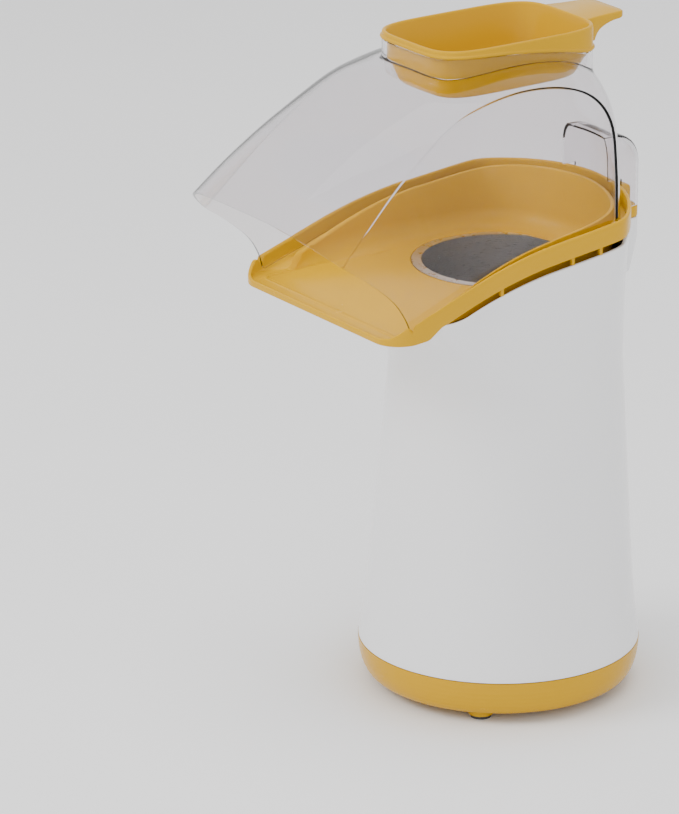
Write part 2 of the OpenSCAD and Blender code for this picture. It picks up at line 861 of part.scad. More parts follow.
// Two notched mica plates that cross on the axis
module heater_former() {
    height = former_z1 - former_z0;
    on_axis() color("tan") difference() {
        union() for (a = [0, 90]) rotate([0, 0, a])
            translate([-shield_r + 1.2, -0.5, former_z0]) cube([2 * shield_r - 2.4, 1, height]);
        for (a = [0, 90]) rotate([0, 0, a]) for (s = [-1, 1])
            translate([s * (coil_r + 8.5) - 3, -1, former_z0 + 5]) cube([6, 2, height - 10]);
        for (a = [0, 90, 180, 270]) rotate([0, 0, a]) for (k = [0:coil_turns])
            translate([coil_r, 0, coil_z(k + a / 360)]) rotate([90, 0, 0])
                cylinder(r = 1.3, h = 2, center = true, $fn = 16);
    }
}

function coil_z(turn) = former_z0 + 7 + coil_pitch * turn;

module heater_coil() {
    on_axis() color("dimgray")
        wire(helix(coil_r, coil_z(0), coil_pitch, coil_turns, 24), 1.1, 6);
}

module dropper_coil() {
    on_axis() color("slategray")
        wire(helix(16, former_z0 + 9, 5, 4, 18), 0.9, 6);
}

module thermostat() {
    on_axis() color("sienna") translate([0, shield_r + 0.05, 160]) rotate([-90, 0, 0]) {
        cylinder(r = 7.5, h = 4.5);
        translate([0, 0, 4.5 - eps]) cylinder(r = 6, h = 1.6);
    }
    on_axis() color("silver") for (s = [-1, 1])
        translate([s * 4 - 1.6, shield_r + 6.1, 154]) cube([3.2, 0.8, 9]);
}

module thermal_fuse() {
    on_axis() color("gainsboro") rotate([0, 0, 66])
        translate([(chamber_r + shield_r - 0.8) / 2, 0, 175]) rotate([90, 0, 0]) {
            cylinder(r = 1.6, h = 11, center = true);
            cylinder(r = 0.6, h = 18, center = true);
        }
}

// ---------------------------------------------------------------- fan and motor

// Plate over the motor with the fan's shroud on it, on three posts
module fan_deck() {
    on_axis() color("darkslategray") difference() {
        union() {
            translate([0, 0, deck_z]) cylinder(r = shroud_r + 1.4, h = deck_t);
            translate([0, 0, deck_z]) tube(shroud_r + 0.4, shroud_r - 1.6, shroud_top_z - deck_z);
            ring_of(deck_posts_a, deck_post_r) {
                translate([0, 0, base_z + 12]) cylinder(r = post_r, h = deck_z + deck_t - base_z - 12);
                translate([-8, -3, deck_z]) cube([8, 6, deck_t]);
            }
        }
        translate([0, 0, deck_z - 1]) cylinder(r = 7, h = deck_t + 2);
        for (a = [0:60:300]) rotate([0, 0, a + 30]) translate([27, 0, deck_z - 1])
            cylinder(r = 8, h = deck_t + 2);
        ring_of([0, 180], 12.5) translate([0, 0, deck_z - 1]) cylinder(r = 1.7, h = deck_t + 2);
        ring_of(deck_posts_a, deck_post_r)
            translate([0, 0, base_z]) cylinder(r = screw_r - bite, h = 24);
    }
}

module deck_screws() {
    on_axis() color("silver") ring_of(deck_posts_a, deck_post_r) screw(base_z + 1.5, 20);
}

module motor_can() {
    on_axis() color("silver") difference() {
        translate([0, 0, motor_z0 + 5]) cylinder(r = motor_r, h = motor_z1 - motor_z0 - 5);
        translate([0, 0, motor_z0]) cylinder(r = motor_r - 1.2, h = motor_z1 - motor_z0 - 1.2);
        translate([0, 0, motor_z1 - 5]) cylinder(r = 3.5, h = 10);
        ring_of([0, 180], 12.5) translate([0, 0, motor_z1 - 3]) cylinder(r = 1.2, h = 6);
        for (a = [45:90:315]) rotate([0, 0, a]) translate([9, 0, motor_z1 - 3])
            cylinder(r = 2, h = 6);
    }
}

module motor_end_cap() {
    on_axis() color("black") difference() {
        union() {
            translate([0, 0, motor_z0 + 2]) cylinder(r = motor_r, h = 3);
            translate([0, 0, motor_z0]) cylinder(r = 6, h = 3);
            translate([0, 0, motor_z0 + 4]) tube(motor_r - 1.3, motor_r - 3, 4);
            // Legs that carry the rectifier board
            ring_of([0, 180], 11) translate([0, 0, board_z + 1.6]) cylinder(r = 1.5, h = 7);
        }
        translate([0, 0, motor_z0 - 1]) cylinder(r = 3.5, h = 20);
    }
}

module motor_magnets() {
    on_axis() color("dimgray") difference() {
        translate([0, 0, 30]) tube(motor_r - 1.3, motor_r - 4.2, 26);
        for (a = [0, 180]) rotate([0, 0, a]) translate([0, -6, 29]) cube([30, 12, 28]);
    }
}

module brush_holders() {
    on_axis() color("goldenrod") for (a = [90, 270]) rotate([0, 0, a]) difference() {
        translate([6.2, -2.6, motor_z0 + 5]) cube([8, 5.2, 4.4]);
        translate([5, -1.6, motor_z0 + 6]) cube([8, 3.2, 2.4]);
    }
}

module carbon_brushes() {
    on_axis() color("black") for (a = [90, 270]) rotate([0, 0, a])
        translate([4.6, -1.6, motor_z0 + 6]) cube([7, 3.2, 2.4]);
}

module shaft_bushes() {
    on_axis() color("peru") {
        translate([0, 0, motor_z0 + 0.4]) tube(3.5, shaft_r + running, 4);
        translate([0, 0, motor_z1 - 4]) tube(3.5, shaft_r + running, 4);
    }
}

module motor_screws() {
    on_axis() color("silver") ring_of([0, 180], 12.5)
        translate([0, 0, deck_z + deck_t + 1.6]) rotate([180, 0, 0]) {
            cylinder(r = 2.6, h = 1.6);
            cylinder(r = 1.3, h = 6.4);
        }
}

module motor_shaft() {
    on_axis() color("silver") translate([0, 0, motor_z0 + 0.6])
        cylinder(r = shaft_r, h = fan_z1 + 4 - motor_z0 - 0.6);
}

module armature() {
    on_axis() color("slategray") difference() {
        union() {
            translate([0, 0, 33]) cylinder(r = 12.4, h = 20);
            translate([0, 0, 31]) cylinder(r = 9.5, h = 24);
        }
        translate([0, 0, 20]) cylinder(r = shaft_r, h = 50);
        for (k = [0:4]) rotate([0, 0, 72 * k]) translate([10, -1, 32]) cube([4, 2, 22]);
    }
}

module commutator() {
    on_axis() color("peru") difference() {
        translate([0, 0, motor_z0 + 5]) cylinder(r = 4.3, h = 5.6);
        translate([0, 0, motor_z0]) cylinder(r = shaft_r, h = 20);
        for (k = [0:2]) rotate([0, 0, 120 * k]) translate([3.4, -0.2, motor_z0 + 4]) cube([2, 0.4, 8]);
    }
}

module fan_impeller() {
    on_axis() color("gainsboro") difference() {
        union() {
            translate([0, 0, fan_z0]) cylinder(r = 9, h = fan_z1 - fan_z0);
            for (k = [0:fan_blades - 1]) rotate([0, 0, 360 * k / fan_blades])
                translate([7, 0, (fan_z0 + fan_z1) / 2]) rotate([38, 0, 0])
                    translate([0, -0.7, -9]) cube([fan_r - 8, 1.4, 18]);
            translate([0, 0, fan_z0 + 6]) tube(fan_r, fan_r - 1.4, 6);
        }
        translate([0, 0, fan_z0 - 5]) cylinder(r = shaft_r, h = 40);
        translate([0, 0, fan_z0 - 10]) cylinder(r = fan_r + 5, h = 10);
        translate([0, 0, fan_z1]) cylinder(r = fan_r + 5, h = 10);
    }
}

module fan_nut() {
    on_axis() color("silver") difference() {
        translate([0, 0, fan_z1]) cylinder(r = 3.6, h = 3, $fn = 6);
        translate([0, 0, fan_z1 - 1]) cylinder(r = shaft_r, h = 6);
    }
}

module rectifier_board() {
    on_axis() color("darkgreen") translate([0, 0, board_z]) cylinder(r = 15, h = 1.6);
}

module rectifier_diodes() {
    on_axis() color("black") for (s = [-1, 1]) for (x = [-5, 5])
        translate([x, s * 7, board_z + 1.6 + 1.5]) rotate([0, 90, 0])
            cylinder(r = 1.5, h = 6, center = true);
}

// ---------------------------------------------------------------- wiring

lead_r = 1.1;
live_route = [
    [3.6, 57, 19], [4.6, 57, 30], [6, 57, 60], [6, 57, 100], [5, 57, 135], [4, 55.9, 149], [4, 55, 155]
];
neutral_route = [
    [-3.6, 57, 15], [-6, 50, 12], [-8, 40, 10.5], [-8, 28, 11], [-5, 13, 14.4]
];
motor_route = [
    [8, 9, 16], [13, 12.5, 17], [18, 12, 20], [20.5, 7, 22.5], [19.5, 3, 23.5], [17.2, 1.5, 23.5]
];

module supply_leads() {
    on_axis() color("white") for (route = [live_route, neutral_route])
        wire(spline(route, 3), lead_r);
}

module motor_leads() {
    on_axis() color("firebrick") for (a = [0, 180]) rotate([0, 0, a])
        wire(spline(motor_route, 3), 0.9);
}

module splice_caps() {
    on_axis() color("beige") for (s = [-1, 1])
        translate([s * 3.6, 57, 12]) cylinder(r1 = 3, r2 = 2.2, h = 8);
}

foot_pads();
base_pan();
base_screws();
cord_gland();
housing();
chute_tray();
tray_screws();
hood();
measuring_cup();
popping_chamber();
chamber_gasket();
heat_shield();
heater_former();
heater_coil();
dropper_coil();
thermostat();
thermal_fuse();
fan_deck();
deck_screws();
motor_can();
motor_end_cap();
motor_magnets();
brush_holders();
carbon_brushes();
shaft_bushes();
motor_screws();
motor_shaft();
armature();
commutator();
fan_impeller();
fan_nut();
rectifier_board();
rectifier_diodes();
supply_leads();
motor_leads();
splice_caps();
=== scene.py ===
import json
import math
import bmesh
import bpy
import numpy as np
from mathutils import Matrix, Vector
from mathutils.bvhtree import BVHTree


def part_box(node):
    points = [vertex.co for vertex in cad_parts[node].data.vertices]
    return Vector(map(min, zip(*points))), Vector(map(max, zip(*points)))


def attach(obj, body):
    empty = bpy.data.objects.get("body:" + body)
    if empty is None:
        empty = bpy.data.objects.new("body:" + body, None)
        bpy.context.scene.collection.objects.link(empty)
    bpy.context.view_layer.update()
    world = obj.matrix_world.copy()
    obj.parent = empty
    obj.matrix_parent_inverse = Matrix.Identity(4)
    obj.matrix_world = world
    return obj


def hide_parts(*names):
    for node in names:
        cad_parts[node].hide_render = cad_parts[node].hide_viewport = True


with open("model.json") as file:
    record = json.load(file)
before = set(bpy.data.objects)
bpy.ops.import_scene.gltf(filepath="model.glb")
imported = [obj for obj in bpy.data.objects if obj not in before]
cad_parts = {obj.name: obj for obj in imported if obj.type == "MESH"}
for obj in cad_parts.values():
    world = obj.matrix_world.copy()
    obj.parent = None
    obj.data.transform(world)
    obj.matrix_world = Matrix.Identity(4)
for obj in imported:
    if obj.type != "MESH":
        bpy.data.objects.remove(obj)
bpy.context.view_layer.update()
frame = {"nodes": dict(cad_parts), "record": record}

# Shapes are worked out in millimetres about the upright axis of the housing,
# as in the CAD model, and move to the shared frame when a mesh is made.
MM = 0.001
shaft_low, shaft_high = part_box("motor_shaft")
AXIS_Y = (shaft_low[1] + shaft_high[1]) / 2

# Sizes shared with the CAD model
BASE_R = 74.0
SEAM_Z = 24.0
WALL = 2.4
WAIST_R = 60.8
FLARE_Z = 178.0
WAIST_BACK = 2.6
SLOT_H = 3.8
SLOT_GAP = 0.4
SLOT_FRONT_Y = -87.9
SLOT_REAR_Y = 35.0
RIB_DEPTHS = (-49, -4, 14)
RIB_INSET = 2.5
TRAY_HALF_W = 66.7
SIDE_TAPER = 0.0258
BAND_H = 10.5
LIP_Y = 118.0
LIP_Z = 224.5
FLOOR_Z = 230.0
FLOOR_T = 2.2
CHANNEL_DROP = 7.6
CHANNEL_T = 2.0
INNER_DROP = 1.2
SEAT_R = 47.4
HOLE_R = 43.4
SPOUT_Y = 88.0
WALL_INSET = 8.3
LIP_CORNER = 15.0
HOOD_DROP = 7.2
HOOD_FOOT_Y = -103.4
HOOD_LOW_W = 66.0
HOOD_TOP_W = 54.0
VISOR_Y = 167.5
REAR_Y = 75.0
TAB_HALF_W = 20.0
LUG_Z = 245.0
LUG_H = 6.0
CUP_RIM_Z = 355.5
CUP_DEPTH = 26.0
CUP_HALF_L = 48.7
CUP_HALF_W = 32.8
CUP_Y = -10.8
CUP_SQUARE = 4.6
HANDLE_L = 26.0

# The clear wall is drawn thinner than the CAD wall, with tight creases, so that
# its edges refract as fine lines
HOOD_T = 1.2
HOOD_CREASE = 0.25

# How squarely the rear arc of the tray meets its sides
CRISP, ROUNDED = 36, 9


# ------------------------------------------------------------------ helpers

def lerp(a, b, t):
    return a + (b - a) * t


def clamp01(t):
    return min(1.0, max(0.0, t))


def smooth(t):
    t = clamp01(t)
    return t * t * (3 - 2 * t)


def spline(points, steps):
    """Catmull-Rom curve through the points, with steps points to each stretch."""
    p = np.array(points, float)
    p = np.vstack([2 * p[0] - p[1], p, 2 * p[-1] - p[-2]])
    out = []
    for i in range(1, len(p) - 2):
        a, b, c, d = p[i - 1], p[i], p[i + 1], p[i + 2]
        for k in range(steps):
            t = k / steps
            out.append(0.5 * (2 * b + (c - a) * t + (2 * a - 5 * b + 4 * c - d) * t * t
                              + (3 * b - a - 3 * c + d) * t ** 3))
    out.append(p[-2])
    return np.array(out)


def rim_z(y):
    """Height of the tray's rim at depth y."""
    back, front, flat, steep, z = -15.0, -70.0, 0.114, 0.35, 258.1
    if y > back:
        return z + flat * (y - back)
    if y > front:
        return z + flat * (y - back) - (steep - flat) / (2 * (back - front)) * (y - back) ** 2
    return z - (back - front) * (flat + steep) / 2 + steep * (y - front)


def floor_at(y):
    """Height of the tray's floor at depth y."""
    if y > -48:
        return FLOOR_Z
    return lerp(FLOOR_Z, LIP_Z, smooth((-48 - y) / (LIP_Y - 48)))


def reach(a, inset, front_y, p=CRISP):
    """Radius of the tray's outline in direction a, moved inwards by inset."""
    c, s = abs(math.cos(a)), math.sin(a)
    side = (TRAY_HALF_W - inset) / (c + SIDE_TAPER * s) if c > 0.05 else 2000
    r_rear = 84.5 - inset
    rear = 2000 if s < -0.2 else -24 * s + math.sqrt((24 * s) ** 2 + r_rear * r_rear - 576)
    front = (front_y - inset) / -s if s < -0.05 else 2000
    r = min((side ** -p + rear ** -p) ** (-1 / p), front)
    corner = max(LIP_CORNER - inset, 3)
    cy = inset + corner - front_y
    cx = TRAY_HALF_W - SIDE_TAPER * cy - inset - corner
    along = c * cx + s * cy
    if r * c > cx and r * s < cy:
        r = along + math.sqrt(max(0, along * along - cx * cx - cy * cy + corner * corner))
    return r


def oval(offset, count):
    """Superellipse outline of the cup's mouth, moved outwards by offset."""
    out = []
    for k in range(count):
        a = 2 * math.pi * k / count
        c, s = math.cos(a), math.sin(a)
        out.append((
            (CUP_HALF_W + offset) * math.copysign(abs(c) ** (2 / CUP_SQUARE), c),
            CUP_Y + (CUP_HALF_L + offset) * math.copysign(abs(s) ** (2 / CUP_SQUARE), s),
        ))
    return out


def flange_low(y):
    """Height of the underside of the cup's flange at depth y."""
    return 351.5 - 8.7 * clamp01((y + 60) / 88) ** 2.2


def raw_mesh(name, verts, faces):
    """Object made from millimetre points about the axis."""
    mesh = bpy.data.meshes.new(name)
    mesh.from_pydata([(x * MM, y * MM + AXIS_Y, z * MM) for x, y, z in verts], [], faces)
    mesh.validate()
    obj = bpy.data.objects.new(name, mesh)
    bpy.context.scene.collection.objects.link(obj)
    return obj


def outward(obj):
    """Turns all faces to point out."""
    bm = bmesh.new()
    bm.from_mesh(obj.data)
    bmesh.ops.recalc_face_normals(bm, faces=bm.faces)
    bm.to_mesh(obj.data)
    bm.free()


def soft_shade(obj, degrees=32):
    """Smooth shading that keeps edges sharper than the angle."""
    obj.data.shade_smooth()
    obj.data.set_sharp_from_angle(angle=math.radians(degrees))


def grid_faces(rows, cols, loop_rows, loop_cols):
    """Quads between neighbouring rows of points."""
    faces = []
    for i in range(rows if loop_rows else rows - 1):
        for j in range(cols if loop_cols else cols - 1):
            a, b = i * cols + j, i * cols + (j + 1) % cols
            c, d = (i + 1) % rows * cols + (j + 1) % cols, (i + 1) % rows * cols + j
            faces.append((a, b, c, d))
    return faces


def loft(name, rings, loop_rows=False, caps=True):
    """Skin through closed rings of equal length."""
    n = len(rings[0])
    faces = grid_faces(len(rings), n, loop_rows, True)
    if caps and not loop_rows:
        faces.append(tuple(range(n - 1, -1, -1)))
        faces.append(tuple((len(rings) - 1) * n + j for j in range(n)))
    obj = raw_mesh(name, [p for ring in rings for p in ring], faces)
    outward(obj)
    return obj


def combine(obj, other, operation):
    """Boolean of two closed meshes; the second one is used up."""
    mod = obj.modifiers.new("cut", "BOOLEAN")
    mod.operation = operation
    mod.solver = "MANIFOLD"
    mod.object = other
    graph = bpy.context.evaluated_depsgraph_get()
    made = bpy.data.meshes.new_from_object(obj.evaluated_get(graph))
    obj.modifiers.clear()
    old = obj.data
    obj.data = made
    bpy.data.meshes.remove(old)
    drop(other)


def drop(obj):
    """Deletes an object with its mesh."""
    mesh = obj.data
    bpy.data.objects.remove(obj)
    bpy.data.meshes.remove(mesh)


def join(obj, *others):
    """Adds other meshes to obj as separate shells of one piece."""
    bm = bmesh.new()
    for o in (obj, *others):
        bm.from_mesh(o.data)
    bm.to_mesh(obj.data)
    bm.free()
    for o in others:
        drop(o)


def finish_piece(obj, material, body, slot, *nodes, degrees=32):
    """Shades a piece, gives it its material, hangs it on the body it rides on and hides the
    nodes it replaces; slot is not used.
    """
    soft_shade(obj, degrees)
    obj.data.materials.clear()
    obj.data.materials.append(material)
    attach(obj, body)
    if nodes:
        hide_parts(*nodes)


# ---------------------------------------------------------------- materials

class Shader:
    """A material whose nodes are laid out by a few short calls."""

    def __init__(self, name):
        self.material = bpy.data.materials.new(name)
        self.material.use_nodes = True
        self.tree = self.material.node_tree
        self.tree.nodes.clear()
        self.out = self.add("ShaderNodeOutputMaterial")
        self.bsdf = self.add("ShaderNodeBsdfPrincipled")
        self.link(self.bsdf, "BSDF", self.out, "Surface")
        self.coords = self.add("ShaderNodeTexCoord")

    def add(self, kind, **inputs):
        node = self.tree.nodes.new(kind)
        for name, value in inputs.items():
            node.inputs[name].default_value = value
        return node

    def link(self, a, out_name, b, in_name):
        self.tree.links.new(a.outputs[out_name], b.inputs[in_name])

    def set(self, **values):
        for name, value in values.items():
            self.bsdf.inputs[name.replace("_", " ")].default_value = value

    def stretched(self, scale):
        mapping = self.add("ShaderNodeMapping")
        mapping.inputs["Scale"].default_value = scale
        self.link(self.coords, "Object", mapping, "Vector")
        return mapping

    def noise(self, scale, detail=3.0, rough=0.5, stretch=(1, 1, 1)):
        node = self.add("ShaderNodeTexNoise", Scale=scale, Detail=detail, Roughness=rough)
        self.link(self.stretched(stretch), "Vector", node, "Vector")
        return node

    def ramp(self, source, stops):
        node = self.add("ShaderNodeValToRGB")
        elements = node.color_ramp.elements
        while len(elements) < len(stops):
            elements.new(0.5)
        for element, (place, color) in zip(elements, stops):
            element.position = place
            element.color = color
        self.link(source, "Fac" if "Fac" in source.outputs else "Result", node, "Fac")
        return node

    def spread(self, source, low, high, from_low=0.3, from_high=0.7):
        node = self.add("ShaderNodeMapRange")
        for name, value in (("From Min", from_low), ("From Max", from_high),
                            ("To Min", low), ("To Max", high)):
            node.inputs[name].default_value = value
        name = "Fac" if "Fac" in source.outputs else 0
        self.tree.links.new(source.outputs[name], node.inputs["Value"])
        return node

    def bump(self, source, strength, distance, into=None):
        node = self.add("ShaderNodeBump", Strength=strength, Distance=distance)
        name = "Fac" if "Fac" in source.outputs else 0
        self.tree.links.new(source.outputs[name], node.inputs["Height"])
        if into is not None:
            self.link(into, "Normal", node, "Normal")
        self.link(node, "Normal", self.bsdf, "Normal")
        return node


def rgba(color, factor=1.0):
    return tuple(min(1.0, c * factor) for c in color[:3]) + (1.0,)


def plastic(name, color, rough, coat=0.0, peel=0.04, mottle=0.03, grain=0.0, shine=0.5):
    """Moulded plastic: faint mottling, uneven gloss, and a flowed or grained skin."""
    m = Shader(name)
    patches = m.noise(18, 4, 0.6)
    tint = m.ramp(patches, [(0.3, rgba(color, 1 - mottle)), (0.7, rgba(color, 1 + mottle))])
    m.link(tint, "Color", m.bsdf, "Base Color")
    gloss = m.noise(60, 5, 0.65)
    m.link(m.spread(gloss, rough * 0.8, rough * 1.25), "Result", m.bsdf, "Roughness")
    flow = m.bump(m.noise(90, 2, 0.4), peel, 0.0006)
    if grain:
        m.bump(m.noise(2600, 2, 0.5), grain, 0.0001, flow)
    m.set(Coat_Weight=coat, Coat_Roughness=0.05, IOR=1.5, Specular_IOR_Level=shine)
    return m.material


def metal(name, color, rough, stretch=(1, 1, 1), streak=0.15, stains=0.05):
    """Drawn, spun or plated metal: streaks along the working direction, light staining."""
    m = Shader(name)
    lines = m.noise(240, 6, 0.7, stretch)
    tint = m.ramp(lines, [(0.25, rgba(color, 1 - stains)), (0.75, rgba(color, 1 + stains))])
    m.link(tint, "Color", m.bsdf, "Base Color")
    m.link(m.spread(lines, rough * 0.7, rough * 1.4), "Result", m.bsdf, "Roughness")
    m.bump(lines, streak, 0.0001)
    m.set(Metallic=1.0)
    return m.material


def clear_plastic(name):
    """Clear polycarbonate with a faint tint, slight flow lines and light handling haze."""
    m = Shader(name)
    patches = m.noise(14, 3, 0.5)
    tint = m.ramp(patches, [(0.3, (0.875, 0.852, 0.872, 1)), (0.7, (0.9, 0.88, 0.897, 1))])
    m.link(tint, "Color", m.bsdf, "Base Color")
    haze = m.noise(50, 5, 0.7)
    m.link(m.spread(haze, 0.0, 0.03), "Result", m.bsdf, "Roughness")
    m.bump(m.noise(26, 2, 0.4), 0.03, 0.0006)
    m.set(Transmission_Weight=1.0, IOR=1.3)
    return m.material


YELLOW = (0.55, 0.3, 0.0)
WHITE = (0.80, 0.80, 0.81)
MATERIALS = {
    "white_plastic": plastic("white_gloss", WHITE, 0.16, coat=0.3, peel=0.03, mottle=0.008),
    "yellow_plastic": plastic("yellow_gloss", YELLOW, 0.22, peel=0.035, mottle=0.02, shine=0.16),
    "clear_plastic": clear_plastic("clear_shell"),
    "rubber_grey": plastic("dark_rubber", (0.035, 0.035, 0.037), 0.6, peel=0.1, grain=0.4),
    "aluminium": metal("spun_aluminium", (0.8, 0.81, 0.82), 0.3, (1, 1, 14)),
    "sheet_steel": metal("galvanised_sheet", (0.6, 0.61, 0.63), 0.38, (2, 2, 2), 0.08, 0.12),
    "screw_steel": metal("plated_steel", (0.55, 0.55, 0.57), 0.3, (1, 1, 4), 0.2),
    "black_plastic": plastic("black_moulding", (0.02, 0.02, 0.022), 0.42, peel=0.05, grain=0.3),
    "mica": plastic("sheet_mica", (0.52, 0.4, 0.24), 0.35, peel=0.12, mottle=0.2),
    "heater_wire": metal("oxidised_wire", (0.3, 0.27, 0.26), 0.5, (1, 1, 1), 0.2, 0.2),
    "copper": metal("bare_copper", (0.72, 0.4, 0.25), 0.3, (1, 1, 6)),
    "brass": metal("bare_brass", (0.72, 0.56, 0.28), 0.3, (1, 1, 5)),
    "carbon": plastic("pressed_carbon", (0.03, 0.03, 0.032), 0.5, peel=0.15, grain=0.5),
    "ferrite": plastic("ferrite_magnet", (0.08, 0.08, 0.085), 0.55, peel=0.2, grain=0.5),
    "lamination": metal("steel_stack", (0.4, 0.41, 0.43), 0.42, (0.4, 0.4, 30), 0.4, 0.15),
    "phenolic_brown": plastic("phenolic", (0.16, 0.06, 0.025), 0.4, peel=0.06, mottle=0.12),
    "board_green": plastic("circuit_board", (0.03, 0.16, 0.07), 0.35, mottle=0.1),
    "silicone_ivory": plastic("ivory_silicone", (0.7, 0.66, 0.56), 0.5, peel=0.06),
    "fan_grey": plastic("fan_moulding", (0.42, 0.43, 0.44), 0.38, peel=0.05, grain=0.2),
    "wire_white": plastic("white_sleeve", (0.75, 0.75, 0.72), 0.45, peel=0.08),
    "wire_red": plastic("red_sleeve", (0.42, 0.03, 0.02), 0.45, peel=0.08),
}
slot_of = {s["node"]: s["material_slot"] for s in frame["record"]["subparts"]}
for node_name, node_object in frame["nodes"].items():
    node_object.data.materials.clear()
    node_object.data.materials.append(MATERIALS[slot_of[node_name]])
    soft_shade(node_object, 28)


# ------------------------------------------------------------------ housing

def body_r(z):
    """Radius of the housing below the flare."""
    t = clamp01((z - SEAM_Z) / (FLARE_Z - SEAM_Z))
    return lerp(BASE_R, WAIST_R, t ** 0.8)


def housing_top(y):
    """Height of the housing's top edge, which dips along the side slots."""
    slot = smooth((y - SLOT_FRONT_Y) / 2) * smooth((SLOT_REAR_Y - y) / 3)
    full = rim_z(y) - BAND_H
    spout = lerp(222, full, smooth((y + 90) / 5))
    return min(full, spout) - SLOT_GAP - SLOT_H * slot


def housing_point(a, z, inset):
    """Point of the housing's wall, which flares from a circle to the tray's outline."""
    r_top = reach(a, 0, SPOUT_Y)
    full = rim_z(r_top * math.sin(a)) - BAND_H
    g = clamp01((z - FLARE_Z) / (full - FLARE_Z)) ** 1.8
    back = WAIST_BACK * smooth((z - SEAM_Z) / (FLARE_Z - SEAM_Z)) * (1 - g)
    r = lerp(body_r(min(z, FLARE_Z)), r_top, g) - inset
    return (r * math.cos(a), r * math.sin(a) + back, z)


def make_housing():
    angles = [math.radians(k) for k in range(360)]
    tops = [housing_top(reach(a, 0, SPOUT_Y) * math.sin(a)) for a in angles]
    edge = 0.8
    start = SEAM_Z + 0.9
    rings = [[housing_point(a, SEAM_Z + rise, inset) for a in angles]
             for rise, inset in ((0.25, WALL), (0.25, 0.5), (0.45, 0.12))]
    for t in (k / 60 for k in range(61)):
        rings.append([housing_point(a, lerp(start, top - edge, t), 0)
                      for a, top in zip(angles, tops)])
    for inset, drop_z in ((0.1, 0.45), (0.35, 0.15), (0.7, 0.0), (WALL - 0.7, 0.0),
                          (WALL - 0.2, 0.25), (WALL, edge)):
        rings.append([housing_point(a, top - drop_z, inset) for a, top in zip(angles, tops)])
    for t in (0.95, 0.9, 0.8, 0.7, 0.5, 0.3, 0.1):
        rings.append([housing_point(a, lerp(start, top - edge, t), WALL)
                      for a, top in zip(angles, tops)])
    shell = loft("housing_shell", rings, loop_rows=True)
    boss = column("housing_boss", [
        (0.0, 69.3, 216.0), (0.0, 69.9, 216.1), (0.0, 70.5, 216.7), (0.0, 71.2, 219.5),
        (0.0, 73.0, 226.0), (0.0, 74.3, 231.0), (0.0, REAR_Y, 236.0),
        (0.0, REAR_Y, LUG_Z - 1.0), (0.15, REAR_Y - 0.15, LUG_Z - 0.5),
        (0.6, REAR_Y - 0.6, LUG_Z - 0.3),
    ], 58.4)
    join(shell, boss)
    finish_piece(shell, MATERIALS["white_plastic"], "appliance", "white_plastic", "housing")


def column(name, levels, front_y):
    """Upright block with rounded rear corners; each level is inset, back and height."""
    rings = []
    for inset, back, z in levels:
        corner = 6.0 - inset
        w = TAB_HALF_W - inset
        ring = [(-w, front_y, z), (w, front_y, z)]
        for middle, start in ((w - corner, 0), (corner - w, 90)):
            for k in range(9):
                a = math.radians(start + 90 * k / 8)
                ring.append((middle + corner * math.cos(a),
                             back - corner + corner * math.sin(a), z))
        rings.append(ring)
    return loft(name, rings)


# --------------------------------------------------------------------- tray

def tray_angles():
    """Directions of the tray's columns, closest together round the lip's corners."""
    half = [-90 + 2 * k for k in range(11)] + [-68 + 0.25 * k for k in range(1, 57)]
    half += [-52 + 2 * k for k in range(32)] + [12 + k for k in range(29)]
    half += [42.5 + 2.5 * k for k in range(20)]
    half = [a for a in half if a <= 90]
    return [math.radians(a) for a in half + [180 - a for a in half[-2:0:-1]]]


def tray_heights(y):
    """Rim, lower edge, channel floor, inner wall and trough floor at depth y."""
    rim = rim_z(y)
    if y < -104.6:
        rim = float(np.interp(-y, [104.6, 106.4, 108.6, 110, 113.5, 116, 118.5],
                              [rim_z(-104.6), 229, rim_z(-108.6), 231, 228, 226, 225.1]))
    low = rim_z(y) - BAND_H
    if y < -93.2:
        low = float(np.interp(-y, [93.2, 94, 97, 106, 119],
                              [rim_z(-93.2) - BAND_H, 224.2, 223.1, 222.4, 222]))
    trough = floor_at(y)
    front = smooth((-y - 99) / 7)
    channel = lerp(rim_z(y) - CHANNEL_DROP, trough, smooth((-y - 103) / 4))
    inner = lerp(rim_z(y) - INNER_DROP, trough + 0.3, front)
    return rim, low, channel, inner, trough


